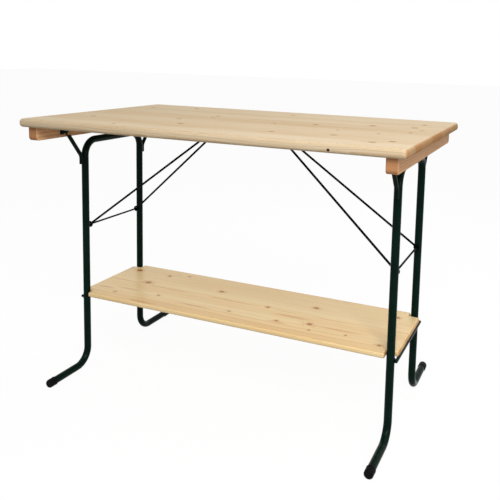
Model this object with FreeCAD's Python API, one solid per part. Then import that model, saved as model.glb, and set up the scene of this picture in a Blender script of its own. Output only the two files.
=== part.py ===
"""Folding bar table: a glued pine top on two bent tube leg frames, with wire braces and a lift-out shelf.

Millimetres. +X runs along the table, +Y to its back, +Z up. The origin is on the floor under the
middle of the top. Each leg frame hangs on two hinge pins, and a wire brace holds it upright.
"""
import FreeCAD, Part
import math
import os

from FreeCAD import Vector

# Table top
TOP_LENGTH = 1384.0
TOP_WIDTH = 848.0
TOP_THICK = 30.0
TOP_HEIGHT = 1000.0
TOP_CORNER_R = 16.0
TOP_EDGE_R = 12.0

# Battens under the top's ends
BATTEN_INSET = 30.0
BATTEN_END_GAP = 20.0
BATTEN_THICK = 35.0
BATTEN_HEIGHT = 48.0
BATTEN_END_R = 14.0
BATTEN_EDGE_R = 2.0

# Leg frames
LEG_Y = 173.0
TUBE_D = 26.9
TUBE_WALL = 2.0
TOP_BAR_DROP = 70.0
TOP_BEND_R = 58.0
FOOT_BEND_R = 62.0
FOOT_REACH = 384.0

# Foot caps
CAP_D = 31.0
CAP_LENGTH = 46.0
CAP_END_WALL = 6.0
CAP_END_R = 6.0
CAP_FIT = 0.1

# Struts from the uprights to the hinge pins
STRUT_D = 15.0
STRUT_FOOT_DROP = 88.0
STRUT_KNEE_DROP = 57.0
STRUT_KNEE_R = 30.0
WELD_GAP = 0.1

# Leg hinges
HINGE_LEAN = 105.0
HINGE_DROP = 19.0
EYE_D = 22.0
EYE_WIDTH = 10.0
EYE_CLEAR = 2.5
PIN_D = 8.0
PIN_FIT = 0.08
PIN_HEAD_D = 13.0
PIN_HEAD_H = 2.5
EAR_THICK = 3.0
EAR_GAP = 0.5
BRACKET_HEIGHT = 36.0

# Brace rod, brace wires and their hook bar
BRACE_ROD_D = 7.0
BRACE_ROD_DROP = 333.0
WIRE_D = 8.0
LOOP_INSET = 24.0
LOOP_FIT = 0.4
HOOK_SPAN = 462.0
HOOK_DROP = 26.0
HOOK_D = 8.0
HOOK_LENGTH = 82.0
WIRE_TOP_Y = 22.0

# Brace catch under the top
CATCH_THICK = 3.0
CATCH_CHEEK_Y = 32.0
CATCH_CHEEK_WIDTH = 26.0
CATCH_LUG = 26.0
CATCH_LIP = 13.0
CATCH_FIT = 0.5

# Shelf bar and shelf
SHELF_BAR_D = 11.0
SHELF_BAR_Z = 280.0
SHELF_BAR_OVERHANG = 8.0
SHELF_BAR_END_FLAT = 1.0
SHELF_THICK = 19.0
SHELF_SEAT = 0.2
SHELF_OVERLAP = 3.0
SHELF_BACK_LAND = 3.5
SHELF_EDGE_R = 7.0
SHELF_CORNER_R = 8.0
NOTCH_CLEAR = 3.0
NOTCH_CORNER_R = 4.0

# Countersunk wood screws
SCREW_D = 4.5
SCREW_HEAD_D = 9.0
SCREW_HEAD_H = 3.0
SCREW_FIT = 0.1
BATTEN_SCREW_LENGTH = 66.0
BATTEN_SCREW_MARGIN = 60.0
BATTEN_SCREW_COUNT = 4
BRACKET_SCREW_LENGTH = 26.0
BRACKET_SCREW_PITCH = 23.0
CATCH_SCREW_LENGTH = 20.0

# Places that follow from the sizes above
UNDERSIDE = TOP_HEIGHT - TOP_THICK
BATTEN_INNER_X = TOP_LENGTH / 2 - BATTEN_INSET - BATTEN_THICK
BATTEN_LENGTH = TOP_WIDTH - 2 * BATTEN_END_GAP
BATTEN_SCREW_PITCH = (BATTEN_LENGTH - 2 * BATTEN_SCREW_MARGIN) / (BATTEN_SCREW_COUNT - 1)
TUBE_R = TUBE_D / 2
LEG_X = BATTEN_INNER_X - EAR_THICK - EYE_CLEAR - EYE_D / 2
TOP_BAR_Z = UNDERSIDE - TOP_BAR_DROP
STRUT_FOOT_Z = TOP_BAR_Z - STRUT_FOOT_DROP
STRUT_KNEE_Z = TOP_BAR_Z - STRUT_KNEE_DROP
HINGE_Y = LEG_Y + HINGE_LEAN
HINGE_Z = UNDERSIDE - HINGE_DROP
BRACE_ROD_Z = TOP_BAR_Z - BRACE_ROD_DROP
LOOP_Y = LEG_Y - LOOP_INSET
HOOK_X = LEG_X - HOOK_SPAN
HOOK_Z = UNDERSIDE - HOOK_DROP
FOOT_Z = CAP_D / 2
STRUT_Y = LEG_Y + TUBE_R + STRUT_D / 2 + WELD_GAP
SHELF_BAR_X = LEG_X + TUBE_R + SHELF_BAR_D / 2 + WELD_GAP
SHELF_BOTTOM = SHELF_BAR_Z + SHELF_BAR_D / 2 + SHELF_SEAT
LOOP_R = (BRACE_ROD_D + WIRE_D) / 2 + LOOP_FIT
SAME_PLACE = 0.01
SIDES = {"left": -1, "right": 1}
ENDS = {"front": -1, "back": 1}

X_AXIS = Vector(1, 0, 0)
Y_AXIS = Vector(0, 1, 0)
Z_AXIS = Vector(0, 0, 1)


def export(name, *solids):
    """Writes one node, which may be a group of separate solids."""
    shape = solids[0] if len(solids) == 1 else Part.makeCompound(list(solids))
    shape.exportStep(os.path.join("parts", name + ".step"))


def box(low, high):
    """A box between two corners, given in any order."""
    lo = Vector(*map(min, zip(low, high)))
    hi = Vector(*map(max, zip(low, high)))
    return Part.makeBox(hi.x - lo.x, hi.y - lo.y, hi.z - lo.z, lo)


def rod(start, end, diameter):
    """A round bar between two points."""
    return Part.makeCylinder(diameter / 2, (end - start).Length, start, end - start)


def rounded_path(points, radii):
    """A wire through points, with a tangent arc of the given radius at each inner point."""
    edges = []
    last = points[0]
    for before, corner, after, radius in zip(points, points[1:], points[2:], radii):
        back = (before - corner).normalize()
        ahead = (after - corner).normalize()
        half = back.getAngle(ahead) / 2
        run = radius / math.tan(half)
        start = corner + back * run
        end = corner + ahead * run
        centre = corner + (back + ahead).normalize() * (radius / math.sin(half))
        middle = centre + (corner - centre).normalize() * radius
        edges.append(Part.LineSegment(last, start).toShape())
        edges.append(Part.Arc(start, middle, end).toShape())
        last = end
    edges.append(Part.LineSegment(last, points[-1]).toShape())
    return Part.Wire(edges)


def pipe(path, start, direction, diameter):
    """A round bar swept along a path."""
    section = Part.Wire(Part.makeCircle(diameter / 2, start, direction))
    return path.makePipeShell([section], True, False)


def upright_edges(shape):
    """The straight vertical edges of a shape."""
    return [e for e in shape.Edges if e.BoundBox.XLength + e.BoundBox.YLength < SAME_PLACE]


def flat_edges(shape):
    """The edges round the upper and lower faces of a slab."""
    return [e for e in shape.Edges if e.BoundBox.ZLength < SAME_PLACE]


def screw(head, direction, length):
    """A countersunk wood screw, flush at the head's middle point."""
    cone = Part.makeCone(SCREW_HEAD_D / 2, SCREW_D / 2, SCREW_HEAD_H, head, direction)
    return cone.fuse(Part.makeCylinder(SCREW_D / 2, length, head, direction)).removeSplitter()


def screw_hole(head, direction, length):
    """The countersunk hole that a screw fills."""
    grow = SCREW_FIT
    cone = Part.makeCone(
        SCREW_HEAD_D / 2 + grow, SCREW_D / 2 + grow, SCREW_HEAD_H, head, direction
    )
    return cone.fuse(Part.makeCylinder(SCREW_D / 2 + grow, length + grow, head, direction))


def batten_screw_heads(side):
    """Where one batten's screws enter it, on its lower face."""
    x = side * (BATTEN_INNER_X + BATTEN_THICK / 2)
    first = -BATTEN_SCREW_PITCH * (BATTEN_SCREW_COUNT - 1) / 2
    z = UNDERSIDE - BATTEN_HEIGHT
    return [Vector(x, first + i * BATTEN_SCREW_PITCH, z) for i in range(BATTEN_SCREW_COUNT)]


def bracket_screw_heads(side, end):
    """Where one hinge bracket's screws enter its base, above and below the pin."""
    x = side * (BATTEN_INNER_X - EAR_THICK)
    return [
        Vector(x, end * HINGE_Y, HINGE_Z + BRACKET_SCREW_PITCH / 2 * step) for step in (-1, 1)
    ]


def catch_screw_heads(side):
    """Where one catch's screws enter its lugs."""
    z = UNDERSIDE - CATCH_THICK
    reach = CATCH_CHEEK_Y + CATCH_THICK + CATCH_LUG / 2
    return [Vector(side * HOOK_X, step * reach, z) for step in (-1, 1)]


def table_top():
    """The glued pine panel, rounded all round its edge, with the screws' pilot holes."""
    slab = box(
        (-TOP_LENGTH / 2, -TOP_WIDTH / 2, UNDERSIDE), (TOP_LENGTH / 2, TOP_WIDTH / 2, TOP_HEIGHT)
    )
    slab = slab.makeFillet(TOP_CORNER_R, upright_edges(slab))
    slab = slab.makeFillet(TOP_EDGE_R, flat_edges(slab))
    for side in SIDES.values():
        for head in batten_screw_heads(side):
            slab = slab.cut(screw_hole(head, Z_AXIS, BATTEN_SCREW_LENGTH))
        for head in catch_screw_heads(side):
            slab = slab.cut(screw_hole(head, Z_AXIS, CATCH_SCREW_LENGTH))
    return slab


def batten(side):
    """One batten, with rounded lower end corners and its screw holes."""
    low_z = UNDERSIDE - BATTEN_HEIGHT
    inner = side * BATTEN_INNER_X
    outer = side * (BATTEN_INNER_X + BATTEN_THICK)
    bar = box((inner, -BATTEN_LENGTH / 2, low_z), (outer, BATTEN_LENGTH / 2, UNDERSIDE))
    ends = [
        e for e in bar.Edges
        if e.BoundBox.ZMax < low_z + SAME_PLACE and e.BoundBox.YLength < SAME_PLACE
    ]
    bar = bar.makeFillet(BATTEN_END_R, ends)
    lower = [
        e for e in bar.Edges
        if e.BoundBox.XLength < SAME_PLACE and e.BoundBox.ZMin < UNDERSIDE - BATTEN_EDGE_R
    ]
    bar = bar.makeFillet(BATTEN_EDGE_R, lower)
    for head in batten_screw_heads(side):
        bar = bar.cut(screw_hole(head, Z_AXIS, BATTEN_SCREW_LENGTH))
    for end in ENDS.values():
        for head in bracket_screw_heads(side, end):
            bar = bar.cut(screw_hole(head, X_AXIS * side, BRACKET_SCREW_LENGTH))
    return bar


def leg_frame(side):
    """One leg frame: a single tube bent to an upside-down U with two turned-out feet."""
    x = side * LEG_X
    points = [
        Vector(x, -FOOT_REACH, FOOT_Z),
        Vector(x, -LEG_Y, FOOT_Z),
        Vector(x, -LEG_Y, TOP_BAR_Z),
        Vector(x, LEG_Y, TOP_BAR_Z),
        Vector(x, LEG_Y, FOOT_Z),
        Vector(x, FOOT_REACH, FOOT_Z),
    ]
    path = rounded_path(points, [FOOT_BEND_R, TOP_BEND_R, TOP_BEND_R, FOOT_BEND_R])
    outside = pipe(path, points[0], Y_AXIS, TUBE_D)
    inside = pipe(path, points[0], Y_AXIS, TUBE_D - 2 * TUBE_WALL)
    return outside.cut(inside)


def foot_cap(side, end):
    """A moulded cap pushed over one foot's end."""
    tip = Vector(side * LEG_X, end * (FOOT_REACH + CAP_END_WALL), FOOT_Z)
    inward = Y_AXIS * -end
    cap = Part.makeCylinder(CAP_D / 2, CAP_LENGTH, tip, inward)
    tip_edge = [e for e in cap.Edges if abs(e.BoundBox.Center.y - tip.y) < SAME_PLACE and e.Closed]
    cap = cap.makeFillet(CAP_END_R, tip_edge)
    seat = tip + inward * CAP_END_WALL
    return cap.cut(Part.makeCylinder(TUBE_R + CAP_FIT, CAP_LENGTH, seat, inward))


def strut(side, end):
    """A strut welded along an upright, which leans out to the eye on its hinge pin."""
    x = side * LEG_X
    points = [
        Vector(x, end * STRUT_Y, STRUT_FOOT_Z),
        Vector(x, end * STRUT_Y, STRUT_KNEE_Z),
        Vector(x, end * HINGE_Y, HINGE_Z),
    ]
    bar = pipe(rounded_path(points, [STRUT_KNEE_R]), points[0], Z_AXIS, STRUT_D)
    eye_start = Vector(x, end * HINGE_Y - EYE_WIDTH / 2, HINGE_Z)
    for step in (-1, 1):
        cheek = Part.makeCylinder(
            EYE_D, EYE_D, eye_start + Y_AXIS * (EYE_WIDTH / 2 + step * EYE_WIDTH / 2), Y_AXIS * step
        )
        bar = bar.cut(cheek)
    eye = Part.makeCylinder(EYE_D / 2, EYE_WIDTH, eye_start, Y_AXIS)
    bore = Part.makeCylinder(PIN_D / 2 + PIN_FIT, EYE_WIDTH, eye_start, Y_AXIS)
    return bar.fuse(eye).cut(bore).removeSplitter()


def hinge_bracket(side, end):
    """A pressed clevis on the batten: a base, two ears round the pin and a screw above and below."""
    base_x = side * BATTEN_INNER_X
    face_x = side * (BATTEN_INNER_X - EAR_THICK)
    middle = end * HINGE_Y
    ear_in = EYE_WIDTH / 2 + EAR_GAP
    ear_out = ear_in + EAR_THICK
    bracket = box(
        (base_x, middle - ear_out, HINGE_Z - BRACKET_HEIGHT / 2),
        (face_x, middle + ear_out, HINGE_Z + BRACKET_HEIGHT / 2),
    )
    for step in (-1, 1):
        ear = box(
            (face_x, middle + step * ear_in, HINGE_Z - EYE_D / 2),
            (side * LEG_X, middle + step * ear_out, HINGE_Z + EYE_D / 2),
        )
        nose = Part.makeCylinder(
            EYE_D / 2,
            EAR_THICK,
            Vector(side * LEG_X, middle + step * (ear_in + ear_out) / 2 - EAR_THICK / 2, HINGE_Z),
            Y_AXIS,
        )
        bracket = bracket.fuse(ear).fuse(nose)
    bore = Part.makeCylinder(
        PIN_D / 2 + PIN_FIT, 4 * ear_out, Vector(side * LEG_X, middle - 2 * ear_out, HINGE_Z), Y_AXIS
    )
    bracket = bracket.cut(bore).removeSplitter()
    for head in bracket_screw_heads(side, end):
        bracket = bracket.cut(screw_hole(head, X_AXIS * side, BRACKET_SCREW_LENGTH))
    return bracket


def hinge_pin(side, end):
    """A riveted pin through a bracket's ears and a strut's eye."""
    half = EYE_WIDTH / 2 + EAR_GAP + EAR_THICK
    start = Vector(side * LEG_X, end * HINGE_Y - half, HINGE_Z)
    pin = Part.makeCylinder(PIN_D / 2, 2 * half, start, Y_AXIS)
    low_head = Part.makeCylinder(PIN_HEAD_D / 2, PIN_HEAD_H, start, -Y_AXIS)
    high_head = Part.makeCylinder(PIN_HEAD_D / 2, PIN_HEAD_H, start + Y_AXIS * 2 * half, Y_AXIS)
    return pin.fuse(low_head).fuse(high_head).removeSplitter()


def brace_rod(side):
    """The rod between a frame's uprights, saddled to them, which carries the brace's loops."""
    start = Vector(side * LEG_X, -LEG_Y, BRACE_ROD_Z)
    bar = rod(start, start + Y_AXIS * 2 * LEG_Y, BRACE_ROD_D)
    for end in ENDS.values():
        foot = Vector(side * LEG_X, end * LEG_Y, BRACE_ROD_Z - BRACE_ROD_D)
        bar = bar.cut(rod(foot, foot + Z_AXIS * 2 * BRACE_ROD_D, TUBE_D + 2 * WELD_GAP))
    return bar


def brace_wire(side, end):
    """One brace wire: a loop round the brace rod and a straight run up to the hook bar."""
    centre = Vector(side * LEG_X, end * LOOP_Y, BRACE_ROD_Z)
    top = Vector(side * HOOK_X, end * WIRE_TOP_Y, HOOK_Z)
    flat = Vector(top.x - centre.x, 0, top.z - centre.z).normalize()
    start = centre + flat * LOOP_R
    run = (top - start).normalize()
    top_end = top - run * (HOOK_D / 2 + WELD_GAP)
    loop = Part.makeTorus(LOOP_R, WIRE_D / 2, centre, Y_AXIS)
    wire = rod(start, top_end, WIRE_D).cut(rod_clearance(side))
    return loop.fuse(wire).cut(hook_bar(side)).removeSplitter()


def rod_clearance(side):
    """The room that the brace rod and its running gap take up inside the loops."""
    start = Vector(side * LEG_X, -LEG_Y, BRACE_ROD_Z)
    return rod(start, start + Y_AXIS * 2 * LEG_Y, BRACE_ROD_D + 2 * LOOP_FIT)


def hook_bar(side):
    """The bar across the brace wires' upper ends, which seats in the catch."""
    start = Vector(side * HOOK_X, -HOOK_LENGTH / 2, HOOK_Z)
    return rod(start, start + Y_AXIS * HOOK_LENGTH, HOOK_D)


def brace_catch(side):
    """The catch: two slotted cheeks on lugs screwed to the underside, open the way the brace swings."""
    x = side * HOOK_X
    half = CATCH_CHEEK_WIDTH / 2
    catch = None
    for step in (-1, 1):
        inner = step * CATCH_CHEEK_Y
        outer = step * (CATCH_CHEEK_Y + CATCH_THICK)
        lug_end = step * (CATCH_CHEEK_Y + CATCH_THICK + CATCH_LUG)
        cheek = box((x - half, inner, HOOK_Z - CATCH_LIP), (x + half, outer, UNDERSIDE))
        lug = box((x - half, inner, UNDERSIDE - CATCH_THICK), (x + half, lug_end, UNDERSIDE))
        catch = cheek.fuse(lug) if catch is None else catch.fuse(cheek).fuse(lug)
    bridge = box(
        (x - half, -CATCH_CHEEK_Y, UNDERSIDE - CATCH_THICK), (x + half, CATCH_CHEEK_Y, UNDERSIDE)
    )
    catch = catch.fuse(bridge)
    reach = Vector(side * (HOOK_X - LEG_X), 0, HOOK_Z - BRACE_ROD_Z)
    way_out = Vector(reach.z * -side, 0, -abs(reach.x)).normalize()
    slot_d = HOOK_D + 2 * CATCH_FIT
    start = Vector(x, -HOOK_LENGTH, HOOK_Z)
    slot = Part.makeCylinder(slot_d / 2, 2 * HOOK_LENGTH, start, Y_AXIS)
    across = way_out.cross(Y_AXIS).normalize()
    corners = [
        start + across * (slot_d / 2),
        start + across * (slot_d / 2) + way_out * 2 * CATCH_CHEEK_WIDTH,
        start - across * (slot_d / 2) + way_out * 2 * CATCH_CHEEK_WIDTH,
        start - across * (slot_d / 2),
    ]
    mouth = Part.Face(Part.makePolygon(corners + corners[:1])).extrude(Y_AXIS * 2 * HOOK_LENGTH)
    catch = catch.cut(slot).cut(mouth).removeSplitter()
    for head in catch_screw_heads(side):
        catch = catch.cut(screw_hole(head, Z_AXIS, CATCH_SCREW_LENGTH))
    return catch


def shelf_bar(side):
    """The bar across a frame's outer side, which carries the shelf's tongue."""
    reach = LEG_Y + SHELF_BAR_OVERHANG
    start = Vector(side * SHELF_BAR_X, -reach, SHELF_BAR_Z)
    bar = rod(start, start + Y_AXIS * 2 * reach, SHELF_BAR_D)
    return bar.makeFillet((SHELF_BAR_D - SHELF_BAR_END_FLAT) / 2, [e for e in bar.Edges if e.Closed])


def shelf_board():
    """The lift-out shelf: a pine board notched at its corners round the four uprights."""
    tongue_x = SHELF_BAR_X + SHELF_OVERLAP
    shoulder_x = LEG_X - TUBE_R - NOTCH_CLEAR
    half_width = LEG_Y + TUBE_R + SHELF_BACK_LAND
    tongue_y = LEG_Y - TUBE_R - NOTCH_CLEAR
    high_z = SHELF_BOTTOM + SHELF_THICK
    body = box((-shoulder_x, -half_width, SHELF_BOTTOM), (shoulder_x, half_width, high_z))
    tongue = box((-tongue_x, -tongue_y, SHELF_BOTTOM), (tongue_x, tongue_y, high_z))
    board = body.fuse(tongue).removeSplitter()

    def at_notch(edge):
        middle = edge.BoundBox.Center
        return abs(abs(middle.x) - shoulder_x) < SAME_PLACE and abs(abs(middle.y) - tongue_y) < SAME_PLACE

    outer_corners = [e for e in upright_edges(board) if not at_notch(e)]
    board = board.makeFillet(SHELF_CORNER_R, outer_corners)
    notch_corners = [e for e in upright_edges(board) if at_notch(e)]
    board = board.makeFillet(NOTCH_CORNER_R, notch_corners)
    return board.makeFillet(SHELF_EDGE_R, flat_edges(board))


def main():
    """Writes every node."""
    os.makedirs("parts", exist_ok=True)
    export("table_top", table_top())
    export("shelf_board", shelf_board())
    bracket_screws = []
    catch_screws = []
    for name, side in SIDES.items():
        export("batten_" + name, batten(side))
        heads = batten_screw_heads(side)
        export("batten_screws_" + name, *[screw(h, Z_AXIS, BATTEN_SCREW_LENGTH) for h in heads])
        export("leg_frame_" + name, leg_frame(side))
        export("brace_rod_" + name, brace_rod(side))
        export("shelf_bar_" + name, shelf_bar(side))
        export("brace_hook_" + name, hook_bar(side))
        export("brace_catch_" + name, brace_catch(side))
        catch_screws += [
            screw(h, Z_AXIS, CATCH_SCREW_LENGTH) for h in catch_screw_heads(side)
        ]
        for end_name, end in ENDS.items():
            place = name + "_" + end_name
            export("strut_" + place, strut(side, end))
            export("foot_cap_" + place, foot_cap(side, end))
            export("hinge_bracket_" + place, hinge_bracket(side, end))
            export("hinge_pin_" + place, hinge_pin(side, end))
            export("brace_wire_" + place, brace_wire(side, end))
            bracket_screws += [
                screw(h, X_AXIS * side, BRACKET_SCREW_LENGTH)
                for h in bracket_screw_heads(side, end)
            ]
    export("bracket_screws", *bracket_screws)
    export("catch_screws", *catch_screws)


main()
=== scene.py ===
"""Folding bar table: lacquered pine on green painted steel, with its welds, rivets, screws and caps."""

import math

import bmesh
import bpy
from mathutils import Matrix, Vector


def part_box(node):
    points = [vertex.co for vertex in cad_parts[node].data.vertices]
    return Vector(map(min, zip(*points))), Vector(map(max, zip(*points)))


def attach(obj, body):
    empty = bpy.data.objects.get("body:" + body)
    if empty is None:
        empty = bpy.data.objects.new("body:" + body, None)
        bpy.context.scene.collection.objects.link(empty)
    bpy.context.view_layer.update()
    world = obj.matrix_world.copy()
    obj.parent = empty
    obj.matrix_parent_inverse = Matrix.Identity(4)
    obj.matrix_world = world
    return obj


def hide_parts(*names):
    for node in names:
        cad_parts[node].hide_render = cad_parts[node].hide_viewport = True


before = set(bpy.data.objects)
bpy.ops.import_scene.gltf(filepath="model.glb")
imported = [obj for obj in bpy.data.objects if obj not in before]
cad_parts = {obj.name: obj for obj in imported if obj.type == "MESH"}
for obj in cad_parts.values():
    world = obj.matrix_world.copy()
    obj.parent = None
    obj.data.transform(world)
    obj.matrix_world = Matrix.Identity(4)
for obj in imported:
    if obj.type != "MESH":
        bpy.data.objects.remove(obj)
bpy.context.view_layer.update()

# Camera, in the photograph's 500 by 500 frame
FRAME_PX = 500
CAMERA_AT = Vector((1.0803, -2.1492, 1.2442))
CAMERA_YAW = math.radians(-23.526)
CAMERA_PITCH = math.radians(-7.087)
CAMERA_ROLL = math.radians(1.337)
FOCAL_PX = 655.97
CENTRE_PX = (284.0, 136.0)
SENSOR_MM = 36.0
NEAR_CLIP = 0.05
FAR_CLIP = 200.0

# Lamps: name, place, target, width and watts
LAMPS = [
    ("key_lamp", (1.4, -2.1, 2.7), (0.2, 0.0, 0.5), 1.4, 72.0),
    ("back_lamp", (0.3, 1.9, 3.1), (0.1, 0.0, 0.5), 1.4, 25.0),
    ("side_lamp", (2.9, -1.7, 1.2), (0.3, 0.0, 0.4), 1.0, 15.0),
]

# Sky and floor. FLOOR_SHARE is the share of glow in what the eye sees of the floor.
WHITE = (1.0, 1.0, 1.0)
WORLD_FILL = 0.44
FLOOR_SHARE = 0.83
FLOOR_GLOW = 1.135
FLOOR_TONE = (0.38, 0.38, 0.38)
FLOOR_REACH = 30.0
FLOOR_GAP = 0.0005

# Steelwork, in metres
SIDES = {"left": -1, "right": 1}
ENDS = {"front": -1, "back": 1}
UPRIGHT_X = 0.6105
UPRIGHT_Y = 0.173
TUBE_R = 0.01345
STRUT_R = 0.0075
STRUT_WELD_Z = (0.813, 0.842)
BRACE_ROD_Z = 0.567
BRACE_ROD_R = 0.0035
SHELF_BAR_Z = 0.280
SHELF_BAR_R = 0.0055

# Weld beads. A ripple is one pitch long, and a bead's middle stands WELD_LIFT off the tube.
WELD_R = 0.0021
WELD_PITCH = 0.0022
WELD_RIPPLE = 0.14
WELD_TAPER = 2.2
WELD_LIFT = 0.0004
WELD_FACETS = 12
RINGS_PER_RIPPLE = 6
FEWEST_WELD_RINGS = 8
SADDLE_STEPS = 32
CROSSING_STEPS = 4
CROSSING_STEP = math.radians(9.0)
BAR_WELD_SHARE = 0.95
STRUT_WELD_SHARE = 0.72
STRUT_WELD_SINK = 0.0006

# A foot cap's outline: radius, and distance from its tip
CAP_PROFILE = [
    (0.0, 0.0012),
    (0.0050, 0.0012),
    (0.0058, 0.0003),
    (0.0090, 0.0000),
    (0.0110, 0.0004),
    (0.0132, 0.0017),
    (0.0147, 0.0038),
    (0.0152, 0.0064),
    (0.0151, 0.0256),
    (0.0155, 0.0268),
    (0.0155, 0.0318),
    (0.0151, 0.0328),
    (0.0137, 0.0330),
    (0.0136, 0.0322),
    (0.0136, 0.0066),
    (0.0, 0.0066),
]
CAP_FACETS = 56

# A rivet head's outline: radius, and height over the bracket
RIVET_HEAD = [(0.0, 0.0025), (0.0026, 0.0023), (0.0046, 0.0016), (0.0060, 0.0006), (0.0065, 0.0)]
RIVET_HEAD_H = 0.0025
RIVET_R = 0.0039
RIVET_FACETS = 32

# Countersunk screws with a cross recess. The corners of the recess are among a screw's angles.
SCREW_HEAD_R = 0.0045
SCREW_HEAD_H = 0.003
SCREW_SHANK_R = 0.00225
RECESS_ARM = 0.0026
RECESS_HALF_WIDTH = 0.00055
RECESS_DEPTH = 0.0016
RECESS_TAPER = 0.72
RECESS_CORNER = math.degrees(math.atan2(RECESS_HALF_WIDTH, RECESS_ARM))
QUARTER = (0.0, RECESS_CORNER, 20.0, 28.0, 36.0, 45.0, 54.0, 62.0, 70.0, 90.0 - RECESS_CORNER)
SCREW_ANGLES = [math.radians(90.0 * quarter + angle) for quarter in range(4) for angle in QUARTER]
BATTEN_SCREW_COUNT = 4
BATTEN_SCREW_MARGIN = 0.060
BATTEN_SCREW_LENGTH = 0.066
BATTEN_SCREW_TURN = 0.7
BRACKET_THICK = 0.003
BRACKET_SCREW_STEP = 0.0115
BRACKET_SCREW_LENGTH = 0.026
BRACKET_SCREW_TURN = 0.4
CATCH_THICK = 0.003
CATCH_SCREW_FROM_END = 0.013
CATCH_SCREW_LENGTH = 0.020
CATCH_SCREW_TURN = 0.3
CATCH_TURN_PER_METRE = 9

# The angle between two faces, in degrees, from which the edge between them looks sharp
WELD_SHARP = 180.0
TURNED_SHARP = 50.0
SCREW_SHARP = 30.0

# Width of a board's laths and of a year's growth. A batten is one piece, narrower than its lath.
TOP_LATH = 0.082
SHELF_LATH = 0.0616
BATTEN_LATH = 4.0
BOARD_RING = 0.0042
BATTEN_RING = 0.0090

# How a lath grew, in metres: where its pith may lie, and how uneven its rings are
PITH_SPREAD = 0.11
PITH_SWAY = 0.05
PITH_DEPTH = 0.018
PITH_DEPTH_SPREAD = 0.05
RING_WOBBLE = 0.0022
KNOT_BEND = 0.006

# A glued seam's shade, by its distance from a lath's edge, and the depth of the grain
SEAM_STARTS = 0.0011
SEAM_FULL = 0.0001
GRAIN_DEPTH = 0.00025

# Tones of the wood: pale, usual, deep and end grain
TOP_TONES = [(0.66, 0.550, 0.400), (0.615, 0.485, 0.318), (0.48, 0.306, 0.150), (0.40, 0.165, 0.052)]
SHELF_TONES = [(0.90, 0.725, 0.425), (0.87, 0.630, 0.315), (0.70, 0.405, 0.150), (0.43, 0.190, 0.060)]
BATTEN_TONES = [(0.80, 0.520, 0.300), (0.67, 0.380, 0.195), (0.43, 0.195, 0.086), (0.43, 0.195, 0.085)]

# Knots on the boards: along, across, half length, half width
TOP_KNOTS = [
    (-0.548, -0.195, 0.012, 0.008),
    (-0.235, -0.100, 0.011, 0.008),
    (-0.142, -0.235, 0.013, 0.009),
    (-0.172, 0.080, 0.009, 0.010),
    (-0.157, 0.012, 0.008, 0.007),
    (0.444, 0.102, 0.013, 0.013),
    (0.589, 0.121, 0.014, 0.012),
    (0.600, 0.238, 0.010, 0.012),
    (0.610, -0.037, 0.008, 0.009),
    (0.630, 0.047, 0.007, 0.008),
    (0.615, -0.289, 0.012, 0.010),
    (0.567, -0.338, 0.013, 0.009),
    (0.415, -0.238, 0.014, 0.008),
    (0.258, 0.020, 0.012, 0.009),
    (0.381, -0.102, 0.006, 0.006),
    (0.526, -0.118, 0.006, 0.006),
    (0.116, -0.022, 0.007, 0.007),
    (0.214, -0.263, 0.010, 0.008),
    (-0.595, 0.254, 0.010, 0.009),
    (-0.415, 0.322, 0.012, 0.009),
    (0.058, 0.289, 0.010, 0.008),
    (-0.327, -0.360, 0.008, 0.006),
]
SHELF_KNOTS = [
    (-0.571, 0.119, 0.0117, 0.0094),
    (-0.450, 0.012, 0.0133, 0.0101),
    (-0.415, 0.115, 0.0070, 0.0062),
    (-0.132, 0.055, 0.0109, 0.0070),
    (-0.332, -0.090, 0.0052, 0.0046),
    (-0.506, -0.134, 0.0048, 0.0038),
    (-0.014, -0.106, 0.0062, 0.0040),
    (-0.338, 0.148, 0.0060, 0.0038),
    (0.098, -0.007, 0.0062, 0.0060),
    (0.264, 0.067, 0.0102, 0.0074),
    (0.295, -0.082, 0.0102, 0.0082),
    (0.178, -0.106, 0.0066, 0.0042),
    (0.311, -0.130, 0.0042, 0.0036),
    (0.438, -0.113, 0.0045, 0.0036),
    (0.562, -0.139, 0.0076, 0.0050),
    (0.562, 0.116, 0.0080, 0.0066),
]

# Resin streaks on the boards: along, across, half length, half width
TOP_STREAKS = [
    (-0.357, -0.244, 0.070, 0.007),
    (0.546, -0.340, 0.045, 0.007),
    (0.191, -0.273, 0.040, 0.006),
    (-0.012, 0.170, 0.060, 0.006),
]
SHELF_STREAKS = [
    (-0.472, -0.085, 0.070, 0.008),
    (-0.350, -0.175, 0.080, 0.008),
    (-0.159, -0.118, 0.090, 0.008),
    (0.212, -0.049, 0.095, 0.011),
    (0.400, -0.085, 0.120, 0.010),
    (0.183, -0.116, 0.050, 0.007),
    (-0.570, -0.104, 0.050, 0.009),
]

# Knots on the top's front edge: along, height, half length, half height
TOP_EDGE_KNOTS = [
    (0.465, 0.9800, 0.0048, 0.0050),
]

# How a board's knots and streaks look
TOP_MARKS = {
    "knots": TOP_KNOTS,
    "streaks": TOP_STREAKS,
    "edge_knots": TOP_EDGE_KNOTS,
    "heart": [(0.0, (0.25, 0.145, 0.065)), (0.35, (0.24, 0.135, 0.060)), (0.72, (0.13, 0.060, 0.022))],
    "streak": (0.45, 0.275, 0.135),
    "show": 0.8,
    "halo": 0.14,
}
SHELF_MARKS = {
    "knots": SHELF_KNOTS,
    "streaks": SHELF_STREAKS,
    "edge_knots": [],
    "heart": [(0.0, (0.46, 0.200, 0.045)), (0.35, (0.46, 0.195, 0.042)), (0.72, (0.19, 0.062, 0.010))],
    "streak": (0.64, 0.31, 0.11),
    "show": 1.0,
    "halo": 0.55,
}
KNOT_HALO = (0.66, 0.335, 0.115)
EDGE_KNOT = (0.045, 0.018, 0.008)

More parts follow.
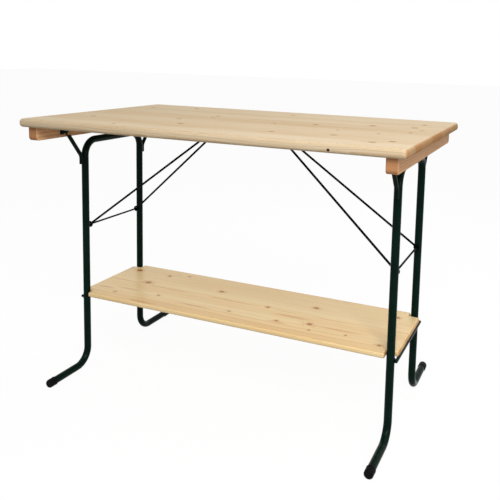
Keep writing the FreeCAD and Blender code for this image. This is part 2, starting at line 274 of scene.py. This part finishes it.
# Colours of the paints, plastic and zinc: the usual one, then the one in places
FRAME_GREEN = [(0.0006, 0.0090, 0.0052), (0.0012, 0.0128, 0.0077)]
# The braces' green is the frame's green made darker: painted shade on the thin wires, rods and catches
SHADED_WIRE_GREEN = [(0.0006, 0.0030, 0.0022), (0.0010, 0.0048, 0.0034)]
DUST = (0.10, 0.12, 0.10)
CAP_BLACK = [(0.0042, 0.0036, 0.0040), (0.020, 0.018, 0.018)]
BRIGHT_ZINC = [(0.60, 0.60, 0.58), (0.56, 0.52, 0.40)]
DARK_ZINC = [(0.030, 0.032, 0.032), (0.050, 0.048, 0.040)]


class Value:
    """A number, colour or vector that varies over a surface. Arithmetic on it adds Math nodes."""

    def __init__(self, finish, socket):
        self.finish = finish
        self.socket = socket

    def out(self, key):
        """Another output of the same node."""
        return Value(self.finish, self.socket.node.outputs[key])

    def math(self, operation, first, second=0.0):
        return self.finish.node("ShaderNodeMath", {"operation": operation}, {0: first, 1: second})

    def __add__(self, other):
        return self.math("ADD", self, other)

    def __sub__(self, other):
        return self.math("SUBTRACT", self, other)

    def __mul__(self, other):
        return self.math("MULTIPLY", self, other)

    def __truediv__(self, other):
        return self.math("DIVIDE", self, other)

    def __radd__(self, other):
        return self.math("ADD", other, self)

    def __rsub__(self, other):
        return self.math("SUBTRACT", other, self)

    def __rmul__(self, other):
        return self.math("MULTIPLY", other, self)

    def __rtruediv__(self, other):
        return self.math("DIVIDE", other, self)

    def __abs__(self):
        return self.math("ABSOLUTE", self)

    def __floor__(self):
        return self.math("FLOOR", self)

    def root(self):
        return self.math("SQRT", self)

    def part(self):
        return self.math("FRACT", self)

    def least(self, other):
        return self.math("MINIMUM", self, other)

    def most(self, other):
        return self.math("MAXIMUM", self, other)

    def rise(self, low, high):
        """A smooth step from 0 at low to 1 at high."""
        return self.finish.node(
            "ShaderNodeMapRange",
            {"interpolation_type": "SMOOTHSTEP"},
            {"Value": self, "From Min": low, "From Max": high},
        )

    def fall(self, low, high):
        """A smooth step from 1 at low to 0 at high."""
        return 1 - self.rise(low, high)


class Finish:
    """The nodes of a material or of the sky, and the one method that adds a node to them."""

    def __init__(self, owner):
        owner.use_nodes = True
        self.owner = owner
        self.tree = owner.node_tree

    def node(self, kind, settings=None, inputs=None, output=0):
        """A new node with its settings, then its inputs' values or links."""
        node = self.tree.nodes.new(kind)
        for key, setting in (settings or {}).items():
            if key == "stops":
                self.set_stops(node.color_ramp, setting)
            else:
                setattr(node, key, setting)
        for key, given in (inputs or {}).items():
            self.feed(node.inputs[key], given)
        return Value(self, node.outputs[output]) if node.outputs else None

    def set_stops(self, ramp, stops):
        """A ramp's stops, as (place, colour)."""
        while len(ramp.elements) < len(stops):
            ramp.elements.new(1.0)
        for element, (place, colour) in zip(ramp.elements, stops):
            element.position = place
            element.color = rgba(colour)

    def feed(self, socket, given):
        """Links a socket to a value that varies, or sets it."""
        if isinstance(given, Value):
            self.tree.links.new(given.socket, socket)
        else:
            socket.default_value = given

    def spot(self):
        """The place on the piece, in metres, in the table's own frame."""
        return self.node("ShaderNodeTexCoord", output="Object")

    def facing(self):
        """The way the surface faces, in the table's own frame."""
        normal = self.node("ShaderNodeTexCoord", output="Normal")
        return self.node("ShaderNodeSeparateXYZ", inputs={0: normal})

    def place(self, x, y, z=0.0):
        return self.node("ShaderNodeCombineXYZ", inputs={0: x, 1: y, 2: z})

    def noise(self, place, scale=1.0, detail=2.0, roughness=0.5):
        return self.node(
            "ShaderNodeTexNoise",
            inputs={"Vector": place, "Scale": scale, "Detail": detail, "Roughness": roughness},
        )

    def mix(self, factor, first, second):
        """A colour between two colours."""
        return self.node("ShaderNodeMix", {"data_type": "RGBA"}, {0: factor, 6: first, 7: second}, 2)

    def ramp(self, factor, stops):
        return self.node("ShaderNodeValToRGB", {"stops": stops}, {0: factor})

    def bump(self, height, distance, strength):
        return self.node(
            "ShaderNodeBump", inputs={"Strength": strength, "Distance": distance, "Height": height}
        )

    def surface(self, **values):
        """Sets the shader's sockets, named with _ for a space."""
        shader = self.tree.nodes["Principled BSDF"]
        for key, given in values.items():
            self.feed(shader.inputs[key.replace("_", " ")], given)
        return self


def rgba(colour):
    return (*colour, 1.0)


class Board:
    """A board's own directions, its laths and each lath's luck, as values over its surface.

    order says which axes run along the grain, across the laths and through the board.
    """

    def __init__(self, finish, order, lath_width, seed):
        self.finish = finish
        self.seed = seed
        axes = finish.node("ShaderNodeSeparateXYZ", inputs={0: finish.spot()})
        self.along, self.across, self.through = (axes.out(axis) for axis in order)
        facing = finish.facing()
        self.facing_along, self.facing_across = (facing.out(axis) for axis in order[:2])
        self.flat = finish.place(self.along, self.across)

        self.lath = math.floor(self.across / lath_width)
        self.inside = self.across - (self.lath + 0.5) * lath_width
        lath_edge = lath_width / 2
        self.seam = abs(self.inside).rise(lath_edge - SEAM_STARTS, lath_edge - SEAM_FULL)
        dice = finish.node(
            "ShaderNodeTexWhiteNoise", {"noise_dimensions": "1D"}, {"W": self.lath + seed}, "Color"
        )
        luck = finish.node("ShaderNodeSeparateColor", inputs={0: dice})
        self.pith_luck, self.depth_luck, self.tone_luck = (luck.out(channel) for channel in range(3))

    def grain_noise(self, along_scale, cross_scale, detail, roughness=0.5):
        """Noise that is drawn out along the grain."""
        place = self.finish.place(
            self.along * along_scale, self.across * cross_scale, self.through * cross_scale
        )
        return self.finish.noise(place, detail=detail, roughness=roughness)

    def nearest_mark(self, place, marks):
        """How far a place is from the nearest of some elliptical marks: 0 at a middle, 1 at an edge."""
        nearest = None
        for first, second, half_length, half_width in marks:
            scaled = self.finish.node(
                "ShaderNodeVectorMath",
                {"operation": "MULTIPLY_ADD"},
                {
                    0: place,
                    1: (1 / half_length, 1 / half_width, 0.0),
                    2: (-first / half_length, -second / half_width, 0.0),
                },
            )
            reach = self.finish.node("ShaderNodeVectorMath", {"operation": "LENGTH"}, {0: scaled}, "Value")
            nearest = reach if nearest is None else nearest.least(reach)
        return nearest

    def late_wood(self, middle, ring, knot):
        """1 in the dark late wood of a year's growth and 0 in the pale early wood."""
        sway = self.finish.noise(self.finish.place(self.along * 1.1, self.lath * 5.7 + self.seed)) - 0.5
        wobble = self.grain_noise(7.0, 55.0, detail=3.0) - 0.5
        from_pith = self.inside - (self.pith_luck - 0.5) * PITH_SPREAD - sway * PITH_SWAY
        depth = self.through - middle + PITH_DEPTH + self.depth_luck * PITH_DEPTH_SPREAD
        radius = (from_pith * from_pith + depth * depth).root() + wobble * RING_WOBBLE
        if knot is not None:
            radius = radius + knot.fall(0.4, 3.4) * KNOT_BEND
        turn = (radius / ring).part()
        return turn.rise(0.25, 0.88) * turn.fall(0.92, 1.0)

    def marked(self, colour, marks, knot, rough_edge):
        """A colour with the board's streaks, knots and edge knots on it."""
        finish = self.finish
        streak = self.nearest_mark(self.flat, marks["streaks"]) + rough_edge * 0.8
        colour = finish.mix(streak.fall(0.15, 1.15) * 0.70 * marks["show"], colour, rgba(marks["streak"]))
        colour = finish.mix(knot.fall(0.8, 3.0) * marks["halo"], colour, rgba(KNOT_HALO))
        heart = finish.ramp(knot * 0.8, marks["heart"])
        colour = finish.mix(knot.fall(0.70, 1.15) * marks["show"], colour, heart)
        if marks["edge_knots"]:
            upright = finish.place(self.along, self.through)
            edge_knot = self.nearest_mark(upright, marks["edge_knots"]) + rough_edge * 0.4
            front_face = (0 - self.facing_across).rise(0.3, 0.7)
            colour = finish.mix(edge_knot.fall(0.70, 1.15) * front_face, colour, rgba(EDGE_KNOT))
        return colour


def pine(name, order, lath_width, middle, tones, seed, ring, matt, shine, marks=None):
    """Sawn and lacquered pine: glued laths with their own growth rings, fibres, knots and end grain.

    middle is the board's middle on the axis through it, ring is the width of a year's growth, and
    marks are the board's knots and streaks.
    """
    pale, usual, deep, end_grain = tones
    finish = Finish(bpy.data.materials.new(name))
    board = Board(finish, order, lath_width, seed)
    end_face = abs(board.facing_along).rise(0.35, 0.85)
    knot = None
    if marks:
        rough_edge = (finish.noise(board.flat, scale=140.0) - 0.5) * 0.55
        knot = board.nearest_mark(board.flat, marks["knots"]) + rough_edge

    late = board.late_wood(middle, ring, knot)
    fibre = board.grain_noise(5.0, 420.0, detail=3.0, roughness=0.6)
    broad = finish.place(board.along * 2.2, board.across * 14.0 + board.lath * 3.1, board.through * 14.0)
    cloud = finish.noise(broad)
    luck = (board.tone_luck - 0.5) * 0.30
    shade = late * 0.30 + (fibre - 0.5) * 0.55 + (cloud - 0.5) * 0.55 + luck + 0.36
    colour = finish.ramp(shade, [(0.0, pale), (0.5, usual), (1.0, deep)])

    ducts = board.grain_noise(34.0, 900.0, detail=1.0).rise(0.70, 0.80) * 0.35
    colour = finish.mix(ducts, colour, rgba(end_grain))
    if marks:
        colour = board.marked(colour, marks, knot, rough_edge)
    end_tone = finish.mix(late * 0.35 + board.tone_luck * 0.75, rgba(deep), rgba(end_grain))
    colour = finish.mix(end_face * 0.90, colour, end_tone)
    colour = finish.mix(board.seam * 0.34, colour, rgba(end_grain))

    grain = late * 0.5 + fibre * 0.5 - board.seam * 1.2 - ducts
    return finish.surface(
        Base_Color=colour,
        Roughness=matt + fibre * 0.10 + end_face * 0.16 - late * 0.05,
        Normal=finish.bump(grain, GRAIN_DEPTH, strength=0.35),
        Specular_IOR_Level=shine,
    )


def gloss_paint(name, colours, roughness, shine):
    """Sprayed gloss paint on steel, with orange peel, slight clouding and a little dust on top."""
    finish = Finish(bpy.data.materials.new(name))
    spot = finish.spot()
    cloud = finish.noise(spot, scale=22.0, detail=3.0)
    peel = finish.noise(spot, scale=620.0)
    rub = finish.noise(spot, scale=75.0, detail=4.0, roughness=0.65)
    upward = finish.facing().out(2).rise(0.2, 1.0)
    tone = finish.mix(cloud.rise(0.3, 0.7), *map(rgba, colours))
    tone = finish.mix(upward * rub.rise(0.45, 0.75) * 0.10, tone, rgba(DUST))
    return finish.surface(
        Base_Color=tone,
        Roughness=roughness + cloud * 0.06 + rub.rise(0.55, 0.75) * 0.06,
        Normal=finish.bump(peel, distance=0.0001, strength=0.10),
        Specular_IOR_Level=shine,
    )


def moulded_plastic(name, colours):
    """Moulded plastic with a fine spark texture and paler scuffs."""
    finish = Finish(bpy.data.materials.new(name))
    spot = finish.spot()
    spark = finish.noise(spot, scale=1500.0)
    scuff = finish.noise(spot, scale=190.0, detail=4.0, roughness=0.7).rise(0.58, 0.80)
    return finish.surface(
        Base_Color=finish.mix(scuff * 0.35, *map(rgba, colours)),
        Roughness=0.46 + scuff * 0.22 + spark * 0.08,
        Normal=finish.bump(spark, distance=0.0001, strength=0.30),
        Specular_IOR_Level=0.05,
    )


def zinc_plate(name, colours):
    """Zinc on a screw, with faint turning marks and a second cast in places."""
    finish = Finish(bpy.data.materials.new(name))
    spot = finish.spot()
    cast = finish.noise(spot, scale=260.0, detail=3.0)
    scratch = finish.noise(spot, scale=1900.0)
    return finish.surface(
        Base_Color=finish.mix(cast.rise(0.35, 0.75), *map(rgba, colours)),
        Metallic=1.0,
        Roughness=0.28 + scratch * 0.22,
        Normal=finish.bump(scratch, distance=0.00005, strength=0.25),
    )


def middle_of(node):
    """The middle of a CAD node's box."""
    low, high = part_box(node)
    return (low + high) / 2


top_pine = pine(
    "top_pine",
    order=(0, 1, 2),
    lath_width=TOP_LATH,
    middle=middle_of("table_top").z,
    tones=TOP_TONES,
    seed=3.0,
    ring=BOARD_RING,
    matt=0.64,
    shine=0.08,
    marks=TOP_MARKS,
)
shelf_pine = pine(
    "shelf_pine",
    order=(0, 1, 2),
    lath_width=SHELF_LATH,
    middle=middle_of("shelf_board").z,
    tones=SHELF_TONES,
    seed=11.0,
    ring=BOARD_RING,
    matt=0.27,
    shine=0.20,
    marks=SHELF_MARKS,
)
batten_wood = pine(
    "batten_wood",
    order=(1, 2, 0),
    lath_width=BATTEN_LATH,
    middle=middle_of("batten_right").x,
    tones=BATTEN_TONES,
    seed=23.0,
    ring=BATTEN_RING,
    matt=0.55,
    shine=0.08,
)
green_paint = gloss_paint("green_paint", FRAME_GREEN, roughness=0.11, shine=0.045)
# A darker, duller copy of the frame paint for the braces; its darker colour is painted shade
shaded_wire_paint = gloss_paint("shaded_wire_paint", SHADED_WIRE_GREEN, roughness=0.30, shine=0.015)
cap_plastic = moulded_plastic("cap_plastic", CAP_BLACK)
zinc = zinc_plate("zinc", BRIGHT_ZINC)
black_zinc = zinc_plate("black_zinc", DARK_ZINC)


def dress(node, finish):
    """Gives a CAD node its finish."""
    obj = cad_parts[node]
    obj.data.materials.clear()
    obj.data.materials.append(finish.owner)


def finish_for(node):
    """The finish of a CAD node, by its name."""
    if node == "table_top":
        return top_pine
    if node == "shelf_board":
        return shelf_pine
    if "screws" in node:
        return zinc
    if node.startswith("batten"):
        return batten_wood
    if node.startswith("foot_cap"):
        return cap_plastic
    # The braces take the darker paint, which is painted shade on these thin parts
    if node.startswith("brace"):
        return shaded_wire_paint
    return green_paint


for node_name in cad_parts:
    dress(node_name, finish_for(node_name))


def add_piece(name, bm, finish, slot, sharp, *nodes):
    """Makes a piece of a mesh, which rides on the table and may stand for CAD nodes."""
    bmesh.ops.recalc_face_normals(bm, faces=bm.faces)
    mesh = bpy.data.meshes.new(name)
    bm.to_mesh(mesh)
    bm.free()
    mesh.polygons.foreach_set("use_smooth", [True] * len(mesh.polygons))
    mesh.set_sharp_from_angle(angle=math.radians(sharp))
    mesh.materials.append(finish.owner)
    obj = bpy.data.objects.new(name, mesh)
    bpy.context.scene.collection.objects.link(obj)
    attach(obj, "table")
    if nodes:
        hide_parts(*nodes)


def facing_place(at, direction):
    """A placement whose local Z axis points along a direction."""
    return Matrix.Translation(at) @ Vector(direction).to_track_quat("Z", "Y").to_matrix().to_4x4()


def even_angles(count):
    """Angles at even steps round a circle."""
    return [math.tau * step / count for step in range(count)]


def join_rings(bm, rings):
    """Faces between each ring of corners and the next. A ring may be a single point."""
    for lower, upper in zip(rings, rings[1:]):
        count = max(len(lower), len(upper))
        for step in range(count):
            following = (step + 1) % count
            corners = [lower[step % len(lower)], lower[following % len(lower)]]
            corners += [upper[following % len(upper)], upper[step % len(upper)]]
            bm.faces.new(list(dict.fromkeys(corners)))


def lathe(bm, profile, place, facets):
    """Revolves (radius, height) points about a placement's Z axis."""
    rings = []
    for radius, height in profile:
        angles = even_angles(facets) if radius else [0.0]
        ring = [Vector((radius * math.cos(a), radius * math.sin(a), height)) for a in angles]
        rings.append([bm.verts.new(place @ point) for point in ring])
    join_rings(bm, rings)


def weld_bead(bm, path):
    """A rippled weld bead along a path, thin at both ends."""
    lengths = [0.0]
    for before, after in zip(path, path[1:]):
        lengths.append(lengths[-1] + (after - before).length)
    total = lengths[-1]
    steps = max(FEWEST_WELD_RINGS, round(total / WELD_PITCH * RINGS_PER_RIPPLE))
    rings = [[bm.verts.new(path[0])]]
    for step in range(1, steps):
        run = total * step / steps
        leg = max(i for i, length in enumerate(lengths[:-1]) if length <= run)
        share = (run - lengths[leg]) / (lengths[leg + 1] - lengths[leg])
        middle = path[leg].lerp(path[leg + 1], share)
        tangent = (path[leg + 1] - path[leg]).normalized()
        side = tangent.orthogonal().normalized()
        other = tangent.cross(side)
        taper = min(1.0, math.sin(math.pi * run / total) * WELD_TAPER)
        ripple = 1 - WELD_RIPPLE + WELD_RIPPLE * abs(math.sin(math.pi * run / WELD_PITCH))
        size = WELD_R * ripple * taper
        around = [side * math.cos(a) + other * math.sin(a) for a in even_angles(WELD_FACETS)]
        rings.append([bm.verts.new(middle + way * size) for way in around])
    rings.append([bm.verts.new(path[-1])])
    join_rings(bm, rings)


def saddle_path(side, end):
    """A path round the brace rod's end, where it meets an upright."""
    points = []
    for step in range(SADDLE_STEPS + 1):
        turn = math.tau * step / SADDLE_STEPS
        out = BRACE_ROD_R * math.cos(turn)
        y = end * (UPRIGHT_Y - math.sqrt(TUBE_R ** 2 - out ** 2) - WELD_LIFT)
        points.append(Vector((side * UPRIGHT_X + out, y, BRACE_ROD_Z + BRACE_ROD_R * math.sin(turn))))
    return points


def crossing_path(side, end, z):
    """A path on an upright's outer face, beside a bar that crosses it."""
    points = []
    for step in range(-CROSSING_STEPS, CROSSING_STEPS + 1):
        turn = step * CROSSING_STEP
        x = side * (UPRIGHT_X + (TUBE_R + WELD_LIFT) * math.cos(turn))
        y = end * UPRIGHT_Y + (TUBE_R + WELD_LIFT) * math.sin(turn)
        points.append(Vector((x, y, z)))
    return points


def frame_welds(name, side):
    """The welds of the struts, the brace rod and the shelf bar on one leg frame."""
    bm = bmesh.new()
    for end in ENDS.values():
        weld_bead(bm, saddle_path(side, end))
        for step in (-1, 1):
            shelf_z = SHELF_BAR_Z + step * SHELF_BAR_R * BAR_WELD_SHARE
            weld_bead(bm, crossing_path(side, end, shelf_z))
            strut_x = side * UPRIGHT_X + step * STRUT_R * STRUT_WELD_SHARE
            strut_y = end * (UPRIGHT_Y + TUBE_R - STRUT_WELD_SINK)
            weld_bead(bm, [Vector((strut_x, strut_y, z)) for z in STRUT_WELD_Z])
    add_piece("welds_" + name, bm, green_paint, "green_paint", WELD_SHARP)


def foot_cap(place_name):
    """A moulded cap with a rounded end, a dished middle and a lip round its mouth."""
    node = "foot_cap_" + place_name
    low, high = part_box(node)
    middle = middle_of(node)
    end = 1 if low.y > 0 else -1
    tip = Vector((middle.x, high.y if end > 0 else low.y, middle.z))
    bm = bmesh.new()
    lathe(bm, CAP_PROFILE, facing_place(tip, (0, -end, 0)), CAP_FACETS)
    add_piece("moulded_cap_" + place_name, bm, cap_plastic, "black_cap", TURNED_SHARP, node)


def rivet(place_name):
    """A hinge pin closed by two domed heads."""
    node = "hinge_pin_" + place_name
    low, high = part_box(node)
    middle = middle_of(node)
    span = high.y - low.y - 2 * RIVET_HEAD_H
    start = Vector((middle.x, low.y + RIVET_HEAD_H, middle.z))
    lower_head = [(radius, -height) for radius, height in RIVET_HEAD]
    upper_head = [(radius, span + height) for radius, height in reversed(RIVET_HEAD)]
    profile = lower_head + [(RIVET_R, 0.0), (RIVET_R, span)] + upper_head
    bm = bmesh.new()
    lathe(bm, profile, facing_place(start, (0, 1, 0)), RIVET_FACETS)
    add_piece("rivet_" + place_name, bm, green_paint, "green_paint", TURNED_SHARP, node)


def recess_reach(angle):
    """How far a cross recess reaches from its middle at an angle."""
    along = max(abs(math.cos(angle)), 1e-6)
    across = max(abs(math.sin(angle)), 1e-6)
    one_bar = min(RECESS_ARM / along, RECESS_HALF_WIDTH / across)
    other_bar = min(RECESS_HALF_WIDTH / along, RECESS_ARM / across)
    return max(one_bar, other_bar)


def screw(bm, head, direction, turn, length):
    """A countersunk screw. Its head is at a place, faces a direction and is turned about it."""
    place = facing_place(head, direction) @ Matrix.Rotation(turn, 4, "Z")
    cross = [recess_reach(angle) for angle in SCREW_ANGLES]
    circle = [1.0] * len(SCREW_ANGLES)
    levels = [
        (cross, RECESS_TAPER, -RECESS_DEPTH),
        (cross, 1.0, 0.0),
        (circle, SCREW_HEAD_R, 0.0),
        (circle, SCREW_SHANK_R, -SCREW_HEAD_H),
        (circle, SCREW_SHANK_R, -length),
    ]
    rings = [[bm.verts.new(place @ Vector((0, 0, -RECESS_DEPTH)))]]
    for outline, size, height in levels:
        ring = []
        for reach, angle in zip(outline, SCREW_ANGLES):
            point = Vector((reach * size * math.cos(angle), reach * size * math.sin(angle), height))
            ring.append(bm.verts.new(place @ point))
        rings.append(ring)
    rings.append([bm.verts.new(place @ Vector((0, 0, -length)))])
    join_rings(bm, rings)


def batten_screws(name):
    """The screws up through one batten into the top."""
    low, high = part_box("batten_" + name)
    pitch = (high.y - low.y - 2 * BATTEN_SCREW_MARGIN) / (BATTEN_SCREW_COUNT - 1)
    bm = bmesh.new()
    for step in range(BATTEN_SCREW_COUNT):
        head = Vector(((low.x + high.x) / 2, low.y + BATTEN_SCREW_MARGIN + step * pitch, low.z))
        screw(bm, head, (0, 0, -1), BATTEN_SCREW_TURN * step, BATTEN_SCREW_LENGTH)
    node = "batten_screws_" + name
    add_piece("cross_screws_batten_" + name, bm, zinc, "zinc_steel", SCREW_SHARP, node)


def bracket_screws():
    """The screws through the hinge brackets into the battens."""
    bm = bmesh.new()
    for side_name, side in SIDES.items():
        for end_name in ENDS:
            node = "hinge_bracket_" + side_name + "_" + end_name
            low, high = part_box(node)
            middle = middle_of(node)
            face_x = high.x - BRACKET_THICK if side > 0 else low.x + BRACKET_THICK
            for step in (-1, 1):
                head = Vector((face_x, middle.y, middle.z + step * BRACKET_SCREW_STEP))
                screw(bm, head, (-side, 0, 0), BRACKET_SCREW_TURN + step, BRACKET_SCREW_LENGTH)
    add_piece("cross_screws_brackets", bm, black_zinc, "zinc_steel", SCREW_SHARP, "bracket_screws")


def catch_screws():
    """The screws through the catches' lugs into the top."""
    bm = bmesh.new()
    for side_name in SIDES:
        low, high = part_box("brace_catch_" + side_name)
        for y in (low.y + CATCH_SCREW_FROM_END, high.y - CATCH_SCREW_FROM_END):
            head = Vector(((low.x + high.x) / 2, y, high.z - CATCH_THICK))
            turn = CATCH_SCREW_TURN + y * CATCH_TURN_PER_METRE
            screw(bm, head, (0, 0, -1), turn, CATCH_SCREW_LENGTH)
    add_piece("cross_screws_catches", bm, zinc, "zinc_steel", SCREW_SHARP, "catch_screws")


for side_name, side_sign in SIDES.items():
    frame_welds(side_name, side_sign)
    batten_screws(side_name)
    for end_name in ENDS:
        foot_cap(side_name + "_" + end_name)
        rivet(side_name + "_" + end_name)
bracket_screws()
catch_screws()


def seen_directly(finish):
    """1 where the eye, a reflection or a glass sees the surface."""
    path = finish.node("ShaderNodeLightPath", output="Is Camera Ray")
    return path.most(path.out("Is Glossy Ray")).most(path.out("Is Transmission Ray"))


def white_floor():
    """A pale floor that looks white and keeps the shadow."""
    bm = bmesh.new()
    bmesh.ops.create_grid(bm, x_segments=2, y_segments=2, size=FLOOR_REACH)
    mesh = bpy.data.meshes.new("floor")
    bm.to_mesh(mesh)
    bm.free()
    obj = bpy.data.objects.new("floor", mesh)
    obj.location.z = -FLOOR_GAP
    bpy.context.scene.collection.objects.link(obj)
    finish = Finish(bpy.data.materials.new("floor_white"))
    finish.tree.nodes.clear()
    share = seen_directly(finish) * FLOOR_SHARE
    matt = finish.node("ShaderNodeBsdfDiffuse", inputs={"Color": rgba(FLOOR_TONE)})
    glow = finish.node("ShaderNodeEmission", inputs={"Color": rgba(WHITE), "Strength": FLOOR_GLOW})
    both = finish.node("ShaderNodeMixShader", inputs={0: share, 1: matt, 2: glow})
    finish.node("ShaderNodeOutputMaterial", inputs={"Surface": both})
    mesh.materials.append(finish.owner)


def white_world():
    """An even sky that lights softly and looks white."""
    world = bpy.data.worlds.new("studio")
    bpy.context.scene.world = world
    finish = Finish(world)
    finish.tree.nodes.clear()
    fill = finish.node("ShaderNodeBackground", inputs={"Color": rgba(WHITE), "Strength": WORLD_FILL})
    white = finish.node("ShaderNodeBackground", inputs={"Color": rgba(WHITE), "Strength": 1.0})
    both = finish.node("ShaderNodeMixShader", inputs={0: seen_directly(finish), 1: fill, 2: white})
    finish.node("ShaderNodeOutputWorld", inputs={"Surface": both})


def soft_lamp(name, at, target, size, watts):
    """A square studio lamp aimed at a point."""
    data = bpy.data.lights.new(name, "AREA")
    data.size = size
    data.energy = watts
    obj = bpy.data.objects.new(name, data)
    obj.location = at
    obj.rotation_mode = "QUATERNION"
    obj.rotation_quaternion = (Vector(target) - Vector(at)).to_track_quat("-Z", "Y")
    bpy.context.scene.collection.objects.link(obj)


def photo_camera():
    """The camera at the photograph's viewing angle."""
    forward = Vector(
        (
            math.sin(CAMERA_YAW) * math.cos(CAMERA_PITCH),
            math.cos(CAMERA_YAW) * math.cos(CAMERA_PITCH),
            math.sin(CAMERA_PITCH),
        )
    )
    level = Vector((math.cos(CAMERA_YAW), -math.sin(CAMERA_YAW), 0))
    upright = level.cross(forward)
    right = level * math.cos(CAMERA_ROLL) + upright * math.sin(CAMERA_ROLL)
    up = upright * math.cos(CAMERA_ROLL) - level * math.sin(CAMERA_ROLL)
    data = bpy.data.cameras.new("photo_camera")
    data.sensor_width = SENSOR_MM
    data.lens = FOCAL_PX * SENSOR_MM / FRAME_PX
    data.shift_x = 0.5 - CENTRE_PX[0] / FRAME_PX
    data.shift_y = CENTRE_PX[1] / FRAME_PX - 0.5
    data.clip_start = NEAR_CLIP
    data.clip_end = FAR_CLIP
    camera = bpy.data.objects.new("photo_camera", data)
    turn = Matrix((right, up, -forward)).transposed().to_4x4()
    camera.matrix_world = Matrix.Translation(CAMERA_AT) @ turn
    bpy.context.scene.collection.objects.link(camera)
    bpy.context.scene.camera = camera


white_floor()
white_world()
for lamp in LAMPS:
    soft_lamp(*lamp)
photo_camera()
bpy.context.scene.view_settings.view_transform = "Standard"
